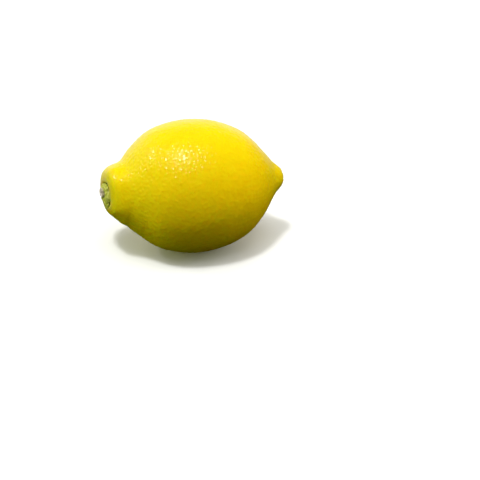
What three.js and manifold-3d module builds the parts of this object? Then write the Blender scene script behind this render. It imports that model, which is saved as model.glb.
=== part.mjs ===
// A whole picked lemon, lying on its side on a small flat spot of its belly.
// Its long axis runs along X, with the stem end towards -X and the nipple towards +X.
// Millimetres, +Z up. The origin is under the middle of the fruit, on the surface it lies on.
import * as THREE from 'three';
import { mergeVertices } from 'three/addons/utils/BufferGeometryUtils.js';
import Module from 'manifold-3d';

// Driving dimensions, measured along the axis from the widest ring of the belly
const BELLY_RADIUS = 29;
const STEM_REACH = 38.5;
const NIPPLE_REACH = 39.6;
const COLLAR_RADIUS = 9.5;
const NIPPLE_RADIUS = 5;
const DISH_DEPTH = 1.3;
const DISH_RADIUS = 4.3;
const LIP_RADIUS = 5.9;
const FLAT_DEPTH = 0.6;

// The outline on each side of the belly, as shares of its radius and of the reach to that end
const NECK_SHARES = [
  [0.394, 0.931], [0.425, 0.878], [0.474, 0.787], [0.656, 0.669], [0.86, 0.484], [0.969, 0.248],
];
const TAPER_SHARES = [
  [0.95, 0.268], [0.805, 0.518], [0.622, 0.682], [0.42, 0.798], [0.262, 0.881],
];

// The neck is hollow only on its upper back, this far round from the top. Elsewhere it is filled out by a
// share of its radius, most at the neck's middle and none past its span, both as shares of the stem's reach
const HOLLOW_TURN = Math.PI / 6;
const HOLLOW_EDGES = [0.2, 0.9];
const NECK_FILL = 0.12;
const NECK_MIDDLE = 0.79;
const NECK_SPAN = 0.14;

// How far the axis is bent at each end, sideways (lean, along Y) and upwards (lift), and how late the
// bend begins: a higher power keeps more of the axis straight
const STEM_BEND = { reach: -STEM_REACH, lean: -3.4, lift: 0.8, power: 3 };
const NIPPLE_BEND = { reach: NIPPLE_REACH, lean: 0.8, lift: 0.9, power: 2 };

// The button in the dish of the collar, with five blunt lobes and the stub of the cut stalk
const BUTTON_RADIUS = 5;
const BUTTON_RISE = 1.8;
const BUTTON_GAP = 0.35;
const LOBE_COUNT = 5;
const LOBE_SHARE = 0.05;
const STUB_RADIUS = 2;
const STUB_RISE = 0.7;

// Facets round the axis, and along the outline from one of its points to the next
const FRUIT_SIDES = 48;
const BUTTON_SIDES = 30;
const STEPS_PER_POINT = 2;
const WELD_DISTANCE = 1e-4;

const wasm = await Module();
wasm.setup();

// Keeps only the positions of a geometry, with the corners that its faces share merged
function welded(geometry) {
  geometry.deleteAttribute('normal');
  geometry.deleteAttribute('uv');
  return mergeVertices(geometry, WELD_DISTANCE);
}

// A closed body of revolution about X from [radius, along] points, listed from -X to +X
function turned(points, sides) {
  const outline = new THREE.SplineCurve(points.map(([radius, along]) => new THREE.Vector2(radius, along)));
  const steps = outline.getPoints((points.length - 1) * STEPS_PER_POINT);
  return welded(new THREE.LatheGeometry(steps, sides).rotateZ(-Math.PI / 2));
}

// Moves every vertex of a geometry to where the rule puts it
function reshaped(geometry, rule) {
  const position = geometry.attributes.position;
  const point = new THREE.Vector3();
  for (let i = 0; i < position.count; i += 1) {
    rule(point.fromBufferAttribute(position, i));
    position.setXYZ(i, point.x, point.y, point.z);
  }
}

// Fills the neck out to a straight flank, and fades the filling out where a flank faces the hollow's way
function fillNeck(point) {
  const offset = THREE.MathUtils.clamp((-point.x / STEM_REACH - NECK_MIDDLE) / NECK_SPAN, -1, 1);
  const radius = Math.max(Math.hypot(point.y, point.z), WELD_DISTANCE);
  const facing = (point.y * Math.sin(HOLLOW_TURN) + point.z * Math.cos(HOLLOW_TURN)) / radius;
  const filled = 1 - THREE.MathUtils.smoothstep(facing, ...HOLLOW_EDGES);
  const swell = 1 + NECK_FILL * filled * Math.cos((offset * Math.PI) / 2) ** 2;
  point.y *= swell;
  point.z *= swell;
}

// Carries a point of a straight body to its place on the fruit's own gently curved axis
function bendAxis(point) {
  const { reach, lean, lift, power } = point.x < 0 ? STEM_BEND : NIPPLE_BEND;
  const share = point.x / reach;
  const slope = (power * share ** (power - 1)) / reach;
  point.x -= slope * (lean * point.y + lift * point.z);
  point.y += lean * share ** power;
  point.z += lift * share ** power;
}

// A solid from a welded geometry, without the flat triangles at the ends of its axis
function solidOf(geometry) {
  const index = geometry.index.array;
  const triangles = [];
  for (let i = 0; i < index.length; i += 3) {
    const [a, b, c] = index.slice(i, i + 3);
    if (a !== b && b !== c && c !== a) {
      triangles.push(a, b, c);
    }
  }
  return new wasm.Manifold(new wasm.Mesh({
    numProp: 3,
    vertProperties: new Float32Array(geometry.attributes.position.array),
    triVerts: new Uint32Array(triangles),
  }));
}

function geometryOf(solid) {
  const mesh = solid.getMesh();
  const geometry = new THREE.BufferGeometry();
  geometry.setAttribute('position', new THREE.BufferAttribute(mesh.vertProperties, 3));
  geometry.setIndex(new THREE.BufferAttribute(mesh.triVerts, 1));
  geometry.computeVertexNormals();
  return geometry;
}

// The fruit: dish and lip of the collar, concave neck, round belly, tapering shoulder and nipple
function fruitGeometry() {
  const dishFloor = -STEM_REACH + DISH_DEPTH;
  const collar = [
    [0, dishFloor],
    [DISH_RADIUS, dishFloor],
    [(DISH_RADIUS + LIP_RADIUS) / 2, -STEM_REACH + 0.35 * DISH_DEPTH],
    [LIP_RADIUS, -STEM_REACH],
    [COLLAR_RADIUS, -STEM_REACH + 0.6 * DISH_DEPTH],
  ];
  const neckToBelly = NECK_SHARES.map(([radius, along]) => [radius * BELLY_RADIUS, -along * STEM_REACH]);
  const bellyToNipple = TAPER_SHARES.map(([radius, along]) => [radius * BELLY_RADIUS, along * NIPPLE_REACH]);
  const nipple = [
    [NIPPLE_RADIUS, 0.95 * NIPPLE_REACH],
    [0.58 * NIPPLE_RADIUS, 0.99 * NIPPLE_REACH],
    [0, NIPPLE_REACH],
  ];
  const outline = [...collar, ...neckToBelly, [BELLY_RADIUS, 0], ...bellyToNipple, ...nipple];
  const body = turned(outline, FRUIT_SIDES);
  reshaped(body, fillNeck);
  reshaped(body, bendAxis);
  const surface = welded(new THREE.BoxGeometry(2 * STEM_REACH, 2 * BELLY_RADIUS, BELLY_RADIUS));
  surface.translate(0, 0, FLAT_DEPTH - 1.5 * BELLY_RADIUS);
  return geometryOf(solidOf(body).subtract(solidOf(surface)));
}

// The button: a domed green disc with lobes round its rim and a short woody stub in its middle
function buttonGeometry() {
  const seat = -STEM_REACH + DISH_DEPTH - BUTTON_GAP;
  const dome = seat - BUTTON_RISE;
  const stub = dome - STUB_RISE;
  const disc = turned([
    [0, stub],
    [0.7 * STUB_RADIUS, stub],
    [STUB_RADIUS, stub + 0.25 * STUB_RISE],
    [1.15 * STUB_RADIUS, dome - 0.15 * STUB_RISE],
    [0.72 * BUTTON_RADIUS, dome + 0.05 * BUTTON_RISE],
    [0.92 * BUTTON_RADIUS, dome + 0.28 * BUTTON_RISE],
    [BUTTON_RADIUS, dome + 0.5 * BUTTON_RISE],
    [0.94 * BUTTON_RADIUS, dome + 0.67 * BUTTON_RISE],
    [0.72 * BUTTON_RADIUS, seat],
    [0, seat],
  ], BUTTON_SIDES);
  reshaped(disc, (point) => {
    const angle = Math.atan2(point.z, point.y);
    const rimShare = (Math.hypot(point.y, point.z) / BUTTON_RADIUS) ** 4;
    const swell = 1 + LOBE_SHARE * rimShare * Math.cos(LOBE_COUNT * angle);
    point.y *= swell;
    point.z *= swell;
  });
  reshaped(disc, bendAxis);
  return geometryOf(solidOf(disc));
}

const peel = new THREE.MeshStandardMaterial({ color: 0xe9c916, roughness: 0.36, metalness: 0 });
const greenWood = new THREE.MeshStandardMaterial({ color: 0x8f9a4e, roughness: 0.75, metalness: 0 });

const fruit = new THREE.Mesh(fruitGeometry(), peel);
fruit.name = 'lemon_fruit';

const button = new THREE.Mesh(buttonGeometry(), greenWood);
button.name = 'stem_button';

const lemon = new THREE.Group();
lemon.add(fruit, button);

// The lowest face goes to Z = 0, and the middle of the whole fruit over the origin
const box = new THREE.Box3().setFromObject(lemon);
const middle = box.getCenter(new THREE.Vector3());
lemon.position.set(-middle.x, -middle.y, -box.min.z);

export default lemon;
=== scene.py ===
import math

import bpy
import numpy as np
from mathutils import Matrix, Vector, noise
from mathutils.kdtree import KDTree


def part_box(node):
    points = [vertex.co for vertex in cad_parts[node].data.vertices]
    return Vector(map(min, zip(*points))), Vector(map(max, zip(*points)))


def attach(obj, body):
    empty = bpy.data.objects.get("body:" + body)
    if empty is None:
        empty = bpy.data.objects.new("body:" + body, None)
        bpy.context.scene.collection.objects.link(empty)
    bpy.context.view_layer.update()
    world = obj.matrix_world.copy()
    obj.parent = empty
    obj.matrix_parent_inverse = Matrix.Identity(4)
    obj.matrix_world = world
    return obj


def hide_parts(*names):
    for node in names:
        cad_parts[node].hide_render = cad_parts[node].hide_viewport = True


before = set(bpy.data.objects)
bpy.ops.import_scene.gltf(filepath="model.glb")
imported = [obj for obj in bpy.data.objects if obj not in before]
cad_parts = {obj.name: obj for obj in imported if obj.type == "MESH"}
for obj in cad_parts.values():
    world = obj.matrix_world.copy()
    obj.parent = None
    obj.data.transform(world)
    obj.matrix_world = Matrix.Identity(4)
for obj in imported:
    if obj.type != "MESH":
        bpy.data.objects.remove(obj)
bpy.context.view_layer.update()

# The rind
# The thick waxy skin of the fruit, grown as one piece over collar, neck, belly and nipple.
# It is pitted all over by oil glands, and pressed flat where the fruit lies on its belly.
MM = 0.001
rind_low, rind_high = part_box("lemon_fruit")
belly_radius = (rind_high.y - rind_low.y) / 2
stem_reach = 38.5 * MM
nipple_reach = 39.6 * MM
collar_radius = 9.5 * MM
lip_radius = 5.9 * MM
dish_radius = 4.3 * MM
dish_depth = 1.3 * MM
nipple_radius = 5.0 * MM
rind_rings = 240
rind_sides = 398

# The outline on each side of the belly, as shares of its radius and of the reach to that end
neck_shares = [
    (0.394, 0.931), (0.425, 0.878), (0.474, 0.787), (0.656, 0.669), (0.86, 0.484), (0.969, 0.248),
]
taper_shares = [(0.95, 0.268), (0.805, 0.518), (0.622, 0.682), (0.42, 0.798), (0.262, 0.881)]
collar_edge = 0.6 * dish_depth - stem_reach
collar_outline = [
    (0, dish_depth - stem_reach),
    (dish_radius, dish_depth - stem_reach),
    ((dish_radius + lip_radius) / 2, 0.35 * dish_depth - stem_reach),
    (lip_radius, -stem_reach),
    (collar_radius, collar_edge),
]
neck_outline = [(radius * belly_radius, -along * stem_reach) for radius, along in neck_shares]
taper_outline = [(radius * belly_radius, along * nipple_reach) for radius, along in taper_shares]
nipple_outline = [
    (nipple_radius, 0.95 * nipple_reach),
    (0.58 * nipple_radius, 0.99 * nipple_reach),
    (0, nipple_reach),
]
rind_outline = collar_outline + neck_outline + [(belly_radius, 0)] + taper_outline + nipple_outline


def even_rings(outline, count):
    """Evenly spaced (radius, along) rings on the smooth curve through an outline's points."""
    knots = np.array([outline[0], *outline, outline[-1]])
    step = np.linspace(0, 1, 80, endpoint=False)[:, None]
    stretches = []
    for before, start, end, after in zip(knots, knots[1:], knots[2:], knots[3:]):
        pull_in, pull_out = (end - before) / 2, (after - start) / 2
        cubic = 2 * (start - end) + pull_in + pull_out
        square = 3 * (end - start) - 2 * pull_in - pull_out
        stretches.append(((cubic * step + square) * step + pull_in) * step + start)
    curve = np.vstack([*stretches, knots[-1:]])
    length = np.concatenate([[0], np.cumsum(np.hypot(*np.diff(curve, axis=0).T))])
    at = np.linspace(0, length[-1], count)
    return np.interp(at, length, curve[:, 0]), np.interp(at, length, curve[:, 1])


def blend_step(low, high, value):
    """0 at low, 1 at high and a smooth change between them."""
    share = np.clip((value - low) / (high - low), 0, 1)
    return share * share * (3 - 2 * share)


# How far the axis bends at each end, to the back and upwards, and the power of the bend's curve
stem_bend = (-3.4 * MM, 0.8 * MM, 3)
nipple_bend = (0.8 * MM, 0.9 * MM, 2)


def on_bent_axis(along, radius, angle):
    """Points of a straight fruit, carried onto its bent axis. The angle turns from the top to the back."""
    across, up = radius * np.sin(angle), radius * np.cos(angle)
    stem_side = along < 0
    lean, lift, power = (np.where(stem_side, *pair) for pair in zip(stem_bend, nipple_bend))
    reach = np.where(stem_side, -stem_reach, nipple_reach)
    share = along / reach
    slope = power * share ** (power - 1) / reach
    bent_along = along - slope * (lean * across + lift * up)
    return np.stack([bent_along, across + lean * share ** power, up + lift * share ** power], axis=-1)


ring_radius, ring_along = even_rings(rind_outline, rind_rings)
side_angle = np.linspace(0, 2 * math.pi, rind_sides, endpoint=False)
rind_along = np.repeat(ring_along[:, None], rind_sides, axis=1)
rind_angle = np.repeat(side_angle[None, :], rind_rings, axis=0)

# The neck is hollow only on its upper back, and filled out to a nearly straight flank elsewhere
hollow_turn = math.radians(30)
flank_slope = 0.81
flank_end = -21 * MM
softening = np.hanning(23)
flank_radius = collar_radius + flank_slope * (ring_along - collar_edge)
on_flank = (ring_radius > collar_radius) & (ring_along < flank_end)
neck_fill = np.where(on_flank, np.maximum(flank_radius - ring_radius, 0), 0)
neck_fill = np.convolve(neck_fill, softening / softening.sum(), mode="same")
filled = 1 - blend_step(0.2, 0.9, np.cos(rind_angle - hollow_turn))
true_radius = ring_radius[:, None] + neck_fill[:, None] * filled

# The CAD fruit's box gives the place of the bent axis in the frame
true_points = on_bent_axis(rind_along, true_radius, rind_angle).reshape(-1, 3)
to_frame = np.array([
    rind_high.x - true_points[:, 0].max(),
    (rind_low.y + rind_high.y - true_points[:, 1].min() - true_points[:, 1].max()) / 2,
    rind_high.z - true_points[:, 2].max(),
])


def wave(height, count, turn):
    """A height that rises and falls so many times round the fruit, from that turn on."""
    return height * np.cos(count * rind_angle + turn)


# A grown fruit is never quite round: soft flanks, ribs and corners that run into the collar, a wavy rim on
# its dish, a slimmer underside there, and furrows by the nipple, all as shares of the radius
corner_share = 0.025
underside_share = 0.13
near_collar = blend_step(-0.7 * stem_reach, -0.97 * stem_reach, rind_along)
near_nipple = blend_step(0.72 * nipple_reach, 0.9 * nipple_reach, rind_along)
on_rim = blend_step(-0.95 * stem_reach, -0.97 * stem_reach, rind_along)
on_rim = on_rim * blend_step(9 * MM, 5 * MM, true_radius)
underside = blend_step(0.2, 0.95, -np.cos(rind_angle)) * blend_step(5.5 * MM, 9 * MM, true_radius)
underside = underside * blend_step(-0.84 * stem_reach, -0.96 * stem_reach, rind_along)
flanks = wave(0.004, 2, 0.7) + wave(0.004, 3, 2.0)
ribs = near_collar * wave(0.006, 7, 1.1 * np.sin(2 * rind_angle))
corners = near_collar * (corner_share - wave(corner_share, 4, math.radians(288)))
rim = on_rim * (wave(0.045, 3, 0.5) + wave(0.035, 5, 2.0))
furrows = near_nipple * wave(0.03, 4, 0.9 * np.sin(3 * rind_angle))
uneven_radius = true_radius * (1 + flanks + ribs + corners + rim + furrows - underside_share * underside)
rind_grid = on_bent_axis(rind_along, uneven_radius, rind_angle) + to_frame


def outward(grid):
    """Unit normals of a closed ring-by-side grid."""
    along_step = np.gradient(grid, axis=0)
    round_step = np.roll(grid, -1, axis=1) - np.roll(grid, 1, axis=1)
    normal = np.cross(round_step, along_step)
    return normal / np.maximum(np.linalg.norm(normal, axis=2, keepdims=True), 1e-12)


# Oil glands: pits at least a spacing apart, each with its own width and depth
rind_normal = outward(rind_grid)
rind_points = rind_grid.reshape(-1, 3)
gland_spacing = 1.55 * MM
gland_jitter = 0.15 * MM
gland_radius = (0.95 * MM, 1.3 * MM)
gland_depth = (0.06 * MM, 0.14 * MM)
gland_seed = 11
chance = np.random.default_rng(gland_seed)
skin_tree = KDTree(len(rind_points))
for index, point in enumerate(rind_points):
    skin_tree.insert(point, index)
skin_tree.balance()
pit = np.zeros(len(rind_points))
free = np.ones(len(rind_points), bool)
for index in chance.permutation(len(rind_points)):
    if not free[index]:
        continue
    centre = rind_points[index] + gland_jitter * chance.uniform(-1, 1, 3)
    width = chance.uniform(*gland_radius)
    depth = chance.uniform(*gland_depth)
    for _, near, distance in skin_tree.find_range(centre, gland_spacing):
        free[near] = False
        if distance < width:
            pit[near] = max(pit[near], depth * (1 - (distance / width) ** 2) ** 2)
pit = pit.reshape(rind_rings, rind_sides)

# The glands are shallower on the neck, and there are none in the dish
pit *= 1 - 0.6 * blend_step(-0.8 * stem_reach, -0.94 * stem_reach, rind_along)
pit *= 1 - blend_step(-0.955 * stem_reach, -0.985 * stem_reach, rind_along)


def lumps_at(points, coarse, fine):
    """Two sizes of smooth lumps over a grid of points, coarse and fine as (height, lumps per metre)."""
    heights = [
        coarse[0] * noise.noise(Vector(point) * coarse[1]) + fine[0] * noise.noise(Vector(point) * fine[1])
        for point in points.reshape(-1, 3)
    ]
    return np.array(heights).reshape(points.shape[:2])


# Between the glands the skin swells a little, and at the nipple's tip is the scar of the flower's style
swell = lumps_at(rind_grid, (0.16 * MM, 90), (0.06 * MM, 330))
scar_depth = 0.35 * MM
scar_edge = (1.0 + wave(0.2, 3, 1.0) + wave(0.12, 5, 0)) * MM
scar_distance = np.hypot(ring_radius[:, None], rind_along - nipple_reach)
style_scar = blend_step(1.35 * scar_edge, 0.6 * scar_edge, scar_distance)
style_scar = style_scar * (rind_along > 0.9 * nipple_reach)
rind_grid = rind_grid + rind_normal * (swell - pit - scar_depth * style_scar)[..., None]
rind_grid[..., 2] = np.maximum(rind_grid[..., 2], rind_low.z)


def closed_mesh(name, grid):
    """A smooth mesh from a ring-by-side grid whose first and last rings are points on the axis."""
    rings, sides = grid.shape[:2]
    points = np.vstack([grid[0].mean(axis=0), grid[1:-1].reshape(-1, 3), grid[-1].mean(axis=0)])
    last = len(points) - 1
    ring = np.arange(1, last).reshape(rings - 2, sides)
    beside = np.roll(ring, -1, axis=1)
    quads = np.stack([ring[:-1], ring[1:], beside[1:], beside[:-1]], axis=-1).reshape(-1, 4)
    first_cap = [(0, a, b) for a, b in zip(ring[0], beside[0])]
    last_cap = [(last, b, a) for a, b in zip(ring[-1], beside[-1])]
    mesh = bpy.data.meshes.new(name)
    mesh.from_pydata(points.tolist(), [], quads.tolist() + first_cap + last_cap)
    mesh.update()
    mesh.shade_smooth()
    piece = bpy.data.objects.new(name, mesh)
    bpy.context.scene.collection.objects.link(piece)
    return piece


def paint_points(piece, name, grid):
    """Stores one value per point of a closed mesh, for its material to read."""
    values = np.concatenate([[grid[0].mean()], grid[1:-1].ravel(), [grid[-1].mean()]])
    piece.data.attributes.new(name, "FLOAT", "POINT").data.foreach_set("value", values.astype(np.float32))


rind = closed_mesh("rind", rind_grid)
in_dish = (rind_along < -0.9 * stem_reach) * (ring_radius < lip_radius)[:, None]
lip_distance = np.hypot(ring_radius[:, None] - lip_radius, rind_along + stem_reach)
paint_points(rind, "gland", pit / gland_depth[1])
paint_points(rind, "collar", blend_step(-0.9 * stem_reach, -1.0 * stem_reach, rind_along))
paint_points(rind, "dish", in_dish * blend_step(0.3 * MM, 1.1 * MM, lip_distance))
paint_points(rind, "lip", 1 - blend_step(0.2 * MM, 1.8 * MM, lip_distance))
paint_points(rind, "nipple", near_nipple)
paint_points(rind, "scar", style_scar)


class Nodes:
    """Short ways to fill the node tree of a material or of the studio's light."""

    def __init__(self, tree):
        self.tree = tree
        self.link = tree.links.new
        self.place = self.add("ShaderNodeTexCoord").outputs

    def add(self, kind, **settings):
        """A new node. Each setting goes to the socket of that name, or else to the node itself."""
        node = self.tree.nodes.new(kind)
        for key, value in settings.items():
            if key in node.inputs:
                node.inputs[key].default_value = value
            else:
                setattr(node, key, value)
        return node

    def texture(self, kind, **settings):
        """The outputs of a texture that is fixed to the piece."""
        node = self.add(kind, **settings)
        self.link(self.place["Object"], node.inputs["Vector"])
        return node.outputs

    def painted(self, name):
        """The values that a mesh stores for its points under a name."""
        return self.add("ShaderNodeAttribute", attribute_name=name).outputs["Fac"]

    def spread(self, value, low, high, to_low, to_high):
        """A socket's range from low to high, stretched onto another range."""
        limits = {"From Min": low, "From Max": high, "To Min": to_low, "To Max": to_high}
        node = self.add("ShaderNodeMapRange", **limits)
        self.link(value, node.inputs["Value"])
        return node.outputs["Result"]

    def tinted(self, colour, *layers):
        """A colour under layers of (socket, low, high, share, tint), each at its full share from high on."""
        for value, low, high, share, tint in layers:
            node = self.add("ShaderNodeMix", data_type="RGBA")
            factor, under, over = node.inputs[0], node.inputs[6], node.inputs[7]
            self.link(self.spread(value, low, high, 0, share), factor)
            if isinstance(colour, bpy.types.NodeSocket):
                self.link(colour, under)
            else:
                under.default_value = colour
            over.default_value = tint
            colour = node.outputs[2]
        return colour

    def bumped(self, height, strength, distance, under=None):
        """A normal that follows a height, on top of another normal if there is one."""
        node = self.add("ShaderNodeBump", Strength=strength, Distance=distance)
        self.link(height, node.inputs["Height"])
        if under is not None:
            self.link(under, node.inputs["Normal"])
        return node.outputs["Normal"]


def new_finish(name):
    """An empty node material, its shader, and the short ways to fill it."""
    finish = bpy.data.materials.new(name)
    finish.use_nodes = True
    return finish, finish.node_tree.nodes["Principled BSDF"], Nodes(finish.node_tree)


stem_yellow = (0.84, 0.665, 0.002, 1)
ripe_yellow = (0.86, 0.625, 0.0015, 1)
warm_yellow = (0.87, 0.585, 0.001, 1)
painted_sheen_yellow = (0.84, 0.70, 0.004, 1)
pale_yellow = (0.90, 0.67, 0.004, 1)
pit_yellow = (0.78, 0.53, 0.001, 1)
green_tinge = (0.58, 0.55, 0.006, 1)
lip_tan = (0.62, 0.46, 0.10, 1)
dish_brown_and_shade = (0.28, 0.235, 0.02, 1)
scar_brown = (0.30, 0.17, 0.05, 1)

peel, skin, nodes = new_finish("peel")
axes = nodes.add("ShaderNodeSeparateXYZ")
nodes.link(nodes.place["Object"], axes.inputs[0])
lengthwise, upwards = axes.outputs["X"], axes.outputs["Z"]
patches = nodes.texture("ShaderNodeTexNoise", Scale=45.0, Detail=3.0)["Fac"]
mottle = nodes.texture("ShaderNodeTexNoise", Scale=260.0, Detail=4.0)["Fac"]
pores = nodes.texture("ShaderNodeTexVoronoi", Scale=680.0)["Distance"]
grain = nodes.texture("ShaderNodeTexNoise", Scale=2600.0, Detail=3.0)["Fac"]
colour = nodes.tinted(
    stem_yellow,
    (lengthwise, -38 * MM, -6 * MM, 1, ripe_yellow),
    (lengthwise, -6 * MM, 18 * MM, 1, warm_yellow),
    # painted sheen: the upper side of the fruit is painted paler, standing in for the light that falls on
    # its top
    (upwards, 40 * MM, 56 * MM, 0.6, painted_sheen_yellow),
    (patches, 0.4, 0.7, 0.5, pale_yellow),
    (mottle, 0.5, 0.75, 0.5, pale_yellow),
    (nodes.painted("gland"), 0.1, 1.0, 0.15, pit_yellow),
    (nodes.painted("collar"), 0, 1, 0.4, green_tinge),
    (nodes.painted("nipple"), 0, 1, 0.3, green_tinge),
    (nodes.painted("lip"), 0, 1, 0.5, lip_tan),
    # the dish under the button is painted dark brown: partly its own dried colour, partly painted shade of
    # the gap round the button
    (nodes.painted("dish"), 0, 1, 1, dish_brown_and_shade),
    (nodes.painted("scar"), 0, 1, 1, scar_brown),
)
nodes.link(colour, skin.inputs["Base Color"])
nodes.link(nodes.spread(mottle, 0.3, 0.7, 0.28, 0.38), skin.inputs["Roughness"])

# The wax has steeper pores than the peel under it, so that its gloss breaks up into dots
pore_height = nodes.spread(pores, 0.0, 0.6, 0, 1)
nodes.link(nodes.bumped(pore_height, 1.0, 0.22 * MM), skin.inputs["Coat Normal"])
pore_normal = nodes.bumped(pore_height, 0.5, 0.1 * MM)
nodes.link(nodes.bumped(grain, 0.1, 0.05 * MM, pore_normal), skin.inputs["Normal"])
skin.inputs["Subsurface Weight"].default_value = 0.9
skin.inputs["Subsurface Radius"].default_value = (1.0, 0.6, 0.1)
skin.inputs["Subsurface Scale"].default_value = 2.5 * MM
skin.inputs["Specular IOR Level"].default_value = 0.1
skin.inputs["Coat Weight"].default_value = 0.5
skin.inputs["Coat Roughness"].default_value = 0.2
rind.data.materials.append(peel)

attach(rind, "root")
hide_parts("lemon_fruit")

# The button
# The dried green calyx that held the fruit to its stalk: five blunt sepals grown together in a lumpy disc.
# It sits in the dish of the collar, held by the fibres under it, with a gap round its edge that is darkened
# by painted shade on the dish.
button_radius = 5.0 * MM
button_rise = 1.8 * MM
button_gap = 0.35 * MM
button_sides = 200
button_rings = 90
lobe_share = 0.14
notch_depth = 0.4 * MM
button_seat = dish_depth - button_gap - stem_reach
button_top = button_seat - button_rise
button_outline = [
    (0, button_top + 0.3 * MM),
    (0.3 * button_radius, button_top + 0.2 * MM),
    (0.45 * button_radius, button_top - 0.1 * MM),
    (0.62 * button_radius, button_top - 0.1 * MM),
    (0.8 * button_radius, button_top + 0.15 * MM),
    (0.95 * button_radius, button_top + 0.45 * MM),
    (button_radius, button_top + 0.9 * MM),
    (0.94 * button_radius, button_top + 1.2 * MM),
    (0.72 * button_radius, button_seat),
    (0, button_seat),
]
disc_radius, disc_along = even_rings(button_outline, button_rings)
disc_angle = np.linspace(0, 2 * math.pi, button_sides, endpoint=False)[None, :]
disc_share = (disc_radius / button_radius)[:, None]
face = (disc_along < button_top + 0.8 * MM)[:, None] * np.ones_like(disc_angle)

# Five sepals with notches between them, the lowest ones longer than the rest
sepal = np.abs(np.cos(2.5 * disc_angle + 0.4)) ** 0.7
notch = (1 - sepal) * blend_step(0.45, 0.95, disc_share)
near_edge = blend_step(0.5, 1, disc_share)
button_reach = disc_radius[:, None] * (1 + lobe_share * (sepal - 0.6) * near_edge)
button_reach = button_reach * (1 + lobe_share * blend_step(0.2, 1, -np.cos(disc_angle)) * near_edge)
button_depth = disc_along[:, None] + notch_depth * notch * face


def about_axis(reach, angle, depth):
    """The points of a ring-by-side grid about a straight axis."""
    return np.stack(np.broadcast_arrays(reach * np.sin(angle), reach * np.cos(angle), depth), axis=-1)


disc_points = about_axis(button_reach, disc_angle, button_depth)
lumps = lumps_at(disc_points, (0.32 * MM, 900), (0.12 * MM, 2400)) * blend_step(0.3, 0.5, disc_share)
button_depth = button_depth - lumps * face
button = closed_mesh("calyx_button", on_bent_axis(button_depth, button_reach, disc_angle) + to_frame)
paint_points(button, "rim", blend_step(0.72, 1.0, disc_share) * np.ones_like(disc_angle))
paint_points(button, "notch", notch * face)
paint_points(button, "lump", 0.5 + lumps / MM)

calyx_green = (0.40, 0.44, 0.015, 1)
calyx_pale_and_highlight = (0.66, 0.64, 0.13, 1)
calyx_notch_shade = (0.10, 0.09, 0.008, 1)
calyx_tan = (0.44, 0.35, 0.08, 1)

green_calyx, calyx, nodes = new_finish("green_calyx")
stain = nodes.texture("ShaderNodeTexNoise", Scale=420.0, Detail=5.0)["Fac"]
fibre = nodes.texture("ShaderNodeTexNoise", Scale=3500.0, Detail=4.0)["Fac"]
colour = nodes.tinted(
    calyx_green,
    # the raised lumps are painted paler: partly their own pale tissue, partly painted highlight on their
    # tops
    (nodes.painted("lump"), 0.4, 0.66, 1, calyx_pale_and_highlight),
    (stain, 0.54, 0.74, 0.6, calyx_tan),
    (nodes.painted("rim"), 0, 1, 0.1, calyx_tan),
    # painted shade: the notches between the sepals are painted dark
    (nodes.painted("notch"), 0.3, 0.95, 0.45, calyx_notch_shade),
)
nodes.link(colour, calyx.inputs["Base Color"])
nodes.link(nodes.spread(stain, 0.3, 0.7, 0.45, 0.7), calyx.inputs["Roughness"])
nodes.link(nodes.bumped(fibre, 0.4, 0.1 * MM), calyx.inputs["Normal"])
button.data.materials.append(green_calyx)

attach(button, "root")
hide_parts("stem_button")

# The stalk stub
# What is left of the woody stalk where the fruit was cut from the tree: a pale, dry, uneven scar.
# It grows out of the button, a little behind its middle.
stub_radius = 2.0 * MM
stub_rise = 0.7 * MM
stub_shift = Vector((-0.55 * MM, 2.1 * MM, 0.2 * MM))
stub_sides = 120
stub_rings = 50
stub_foot = button_top + 0.6 * MM
stub_end = button_top - stub_rise
stub_outline = [
    (0, stub_end + 0.35 * MM),
    (0.3 * stub_radius, stub_end + 0.25 * MM),
    (0.7 * stub_radius, stub_end + 0.1 * MM),
    (0.95 * stub_radius, stub_end + 0.15 * MM),
    (stub_radius, stub_end + 0.5 * MM),
    (1.08 * stub_radius, button_top),
    (stub_radius, stub_foot),
    (0, stub_foot),
]
stub_ring_radius, stub_ring_along = even_rings(stub_outline, stub_rings)
stub_angle = np.linspace(0, 2 * math.pi, stub_sides, endpoint=False)[None, :]
stub_share = (stub_ring_radius / stub_radius)[:, None]
stub_round = 1 + 0.06 * np.cos(3 * stub_angle + 0.5) + 0.03 * np.cos(7 * stub_angle)
stub_reach = stub_ring_radius[:, None] * stub_round
cut_face = (stub_ring_along < stub_end + 0.6 * MM)[:, None] * np.ones_like(stub_angle)
stub_points = about_axis(stub_reach, stub_angle, 0.3 * stub_ring_along[:, None])
chips = lumps_at(stub_points, (0.22 * MM, 900), (0.1 * MM, 2800))
stub_depth = stub_ring_along[:, None] - chips * cut_face
stub = closed_mesh("stalk_stub", on_bent_axis(stub_depth, stub_reach, stub_angle) + to_frame + stub_shift)
paint_points(stub, "bark", 1 - cut_face * (1 - blend_step(0.8, 1.0, stub_share)))
paint_points(stub, "pith", cut_face * (1 - blend_step(0.2, 0.36, stub_share)))

wood_pale = (0.74, 0.62, 0.55, 1)
wood_grey = (0.26, 0.20, 0.18, 1)
bark_olive = (0.34, 0.29, 0.13, 1)
pith_brown = (0.22, 0.15, 0.10, 1)

dry_wood, wood, nodes = new_finish("dry_wood")
weather = nodes.texture("ShaderNodeTexNoise", Scale=900.0, Detail=5.0)["Fac"]
wood_grain = nodes.texture("ShaderNodeTexNoise", Scale=5000.0, Detail=3.0)["Fac"]
colour = nodes.tinted(
    wood_pale,
    (weather, 0.5, 0.72, 1, wood_grey),
    (nodes.painted("bark"), 0, 1, 0.7, bark_olive),
    (nodes.painted("pith"), 0, 1, 0.7, pith_brown),
)
nodes.link(colour, wood.inputs["Base Color"])
nodes.link(nodes.spread(weather, 0.3, 0.7, 0.7, 0.9), wood.inputs["Roughness"])
nodes.link(nodes.bumped(wood_grain, 0.5, 0.1 * MM), wood.inputs["Normal"])
stub.data.materials.append(dry_wood)

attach(stub, "root")
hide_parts("stem_button")

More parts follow.
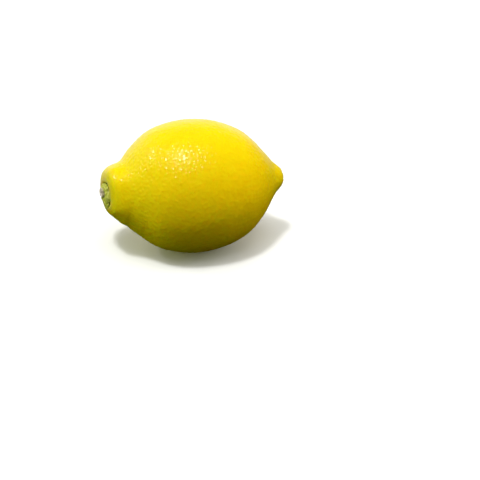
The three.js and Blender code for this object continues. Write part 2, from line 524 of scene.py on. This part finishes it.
# The floor
# A plain pale studio surface that the fruit lies on. It isn't part of the fruit.
# It shows to the camera and takes the fruit's shadow, but throws no light or shade back on the fruit.
floor_half = 4.0
floor_corners = [(x * floor_half, y * floor_half, 0) for x, y in ((-1, -1), (1, -1), (1, 1), (-1, 1))]
floor_mesh = bpy.data.meshes.new("floor")
floor_mesh.from_pydata(floor_corners, [], [(0, 1, 2, 3)])
floor = bpy.data.objects.new("floor", floor_mesh)
bpy.context.scene.collection.objects.link(floor)
floor.visible_diffuse = False
floor.visible_glossy = False
floor.visible_shadow = False

board_white = (0.93, 0.93, 0.93, 1)
board_shade = (0.90, 0.90, 0.90, 1)

white_board, board, nodes = new_finish("white_board")
dust = nodes.texture("ShaderNodeTexNoise", Scale=6.0, Detail=2.0)["Fac"]
nodes.link(nodes.tinted(board_shade, (dust, 0, 1, 1, board_white)), board.inputs["Base Color"])
board.inputs["Roughness"].default_value = 0.9
board.inputs["Specular IOR Level"].default_value = 0.1
floor_mesh.materials.append(white_board)

# The light
# Broad soft boxes and fills round the fruit give it its tone, and aren't mirrored in its wax.
# Two small bare lamps give the dots of light on the wax, and the pale room glows behind the fruit.
white = (1, 1, 1)
front_tint = (0.93, 1.0, 0.6)
stem_side_tint = (0.8, 1.0, 0.5)
card_tint = (0.9, 1.0, 0.5)

# Each lamp's name, the side it shines from, its strength, width in degrees, tint, and if the wax mirrors it
for lamp_name, from_side, strength, width, tint, is_mirrored in (
    ("overhead_box", (0.02, -0.24, 1.0), 1.42, 50, white, False),
    ("nipple_side_box", (1.0, 0.0, 0.3), 1.6, 60, white, False),
    ("front_fill", (-0.05, -0.84, 0.5), 0.44, 40, front_tint, False),
    ("stem_side_fill", (-0.95, 0.2, -0.1), 0.9, 80, stem_side_tint, False),
    ("spot", (-0.19, -0.26, 1.0), 1.5, 8, white, True),
    ("stem_side_spot", (-0.72, 0.3, 0.62), 0.4, 6, white, True),
    ("back_fill", (0.2, 0.95, 0.3), 0.7, 60, white, False),
):
    lamp_data = bpy.data.lights.new(lamp_name, "SUN")
    lamp_data.energy = strength
    lamp_data.angle = math.radians(width)
    lamp_data.color = tint
    lamp = bpy.data.objects.new(lamp_name, lamp_data)
    lamp.rotation_euler = Vector(from_side).to_track_quat("Z", "Y").to_euler()
    lamp.visible_glossy = is_mirrored
    bpy.context.scene.collection.objects.link(lamp)

# A small card near the table throws light up under the neck
card_place = Vector((-62 * MM, -24 * MM, 6 * MM))
card_aim = Vector((-30 * MM, -10 * MM, 20 * MM))
card_data = bpy.data.lights.new("bounce_card", "AREA")
card_data.size = 60 * MM
card_data.energy = 0.0009
card_data.color = card_tint
card = bpy.data.objects.new("bounce_card", card_data)
card.location = card_place
card.rotation_euler = (card_place - card_aim).to_track_quat("Z", "Y").to_euler()
card.visible_camera = False
card.visible_glossy = False
bpy.context.scene.collection.objects.link(card)

studio = bpy.data.worlds.new("studio")
studio.use_nodes = True
bpy.context.scene.world = studio
nodes = Nodes(studio.node_tree)
light_path = nodes.add("ShaderNodeLightPath").outputs


def glow_towards(side, low, high, dark, bright):
    """A strength that goes from dark to bright as a direction turns from low to high towards a side."""
    turn = nodes.add("ShaderNodeVectorMath", operation="DOT_PRODUCT")
    turn.inputs[1].default_value = side
    nodes.link(nodes.place["Generated"], turn.inputs[0])
    return nodes.spread(turn.outputs["Value"], low, high, dark, bright)


def combined(operation, *strengths):
    """Strengths put together, one after the other, by that kind of sum."""
    total = strengths[0]
    for strength in strengths[1:]:
        node = nodes.add("ShaderNodeMath", operation=operation)
        nodes.link(total, node.inputs[0])
        nodes.link(strength, node.inputs[1])
        total = node.outputs["Value"]
    return total


# What lights the fruit: the room behind it on the stem side, above the horizon and dimmer overhead
upright = (0, 0, 1)
room = glow_towards((-0.7, 0.71, 0), 0.1, 0.9, 0.03, 0.9)
horizon = glow_towards(upright, -0.05, 0.1, 0.02, 1.0)
ceiling = glow_towards(upright, 0.2, 0.75, 1.0, 0.2)
lit = combined("MULTIPLY", room, horizon, ceiling)

# What the wax mirrors: the far side of the table and the low wall behind it
far_side = glow_towards((0, 1, 0), 0.65, 0.92, 0.0, 0.85)
table = glow_towards(upright, -0.52, -0.32, 0.0, 1.0)
low_wall = glow_towards(upright, 0.2, 0.5, 1.0, 0.05)
mirrored = combined("MULTIPLY", far_side, table, low_wall)

# The camera itself sees plain white
by_gloss = nodes.add("ShaderNodeMix")
nodes.link(light_path["Is Glossy Ray"], by_gloss.inputs[0])
nodes.link(lit, by_gloss.inputs[2])
nodes.link(mirrored, by_gloss.inputs[3])
seen = combined("MAXIMUM", by_gloss.outputs[0], light_path["Is Camera Ray"])
backdrop = studio.node_tree.nodes["Background"]
backdrop.inputs["Color"].default_value = (*white, 1)
nodes.link(seen, backdrop.inputs["Strength"])
bpy.context.scene.view_settings.view_transform = "Standard"

# The camera
# It looks down on the fruit from the front, a little to the stem side.
# The fruit lies left of the picture's middle and above it.
picture_side = 480
belly_pixel = (194, 185.5)
camera_azimuth = math.radians(-10)
camera_elevation = math.radians(30)
camera_distance = 0.465
camera_data = bpy.data.cameras.new("camera")
camera_data.lens = 80
camera_data.sensor_width = 36
camera = bpy.data.objects.new("camera", camera_data)
bpy.context.scene.collection.objects.link(camera)
bpy.context.scene.camera = camera
back = Vector((
    math.sin(camera_azimuth) * math.cos(camera_elevation),
    -math.cos(camera_azimuth) * math.cos(camera_elevation),
    math.sin(camera_elevation),
))
right = Vector((math.cos(camera_azimuth), math.sin(camera_azimuth), 0))
above = back.cross(right)
focal_pixels = camera_data.lens / camera_data.sensor_width * picture_side
aside = (belly_pixel[0] - picture_side / 2) / focal_pixels
raised = (picture_side / 2 - belly_pixel[1]) / focal_pixels
belly_centre = Vector(to_frame)
camera.location = belly_centre + camera_distance * (back - aside * right - raised * above)
camera.rotation_euler = (-back).to_track_quat("-Z", "Y").to_euler()
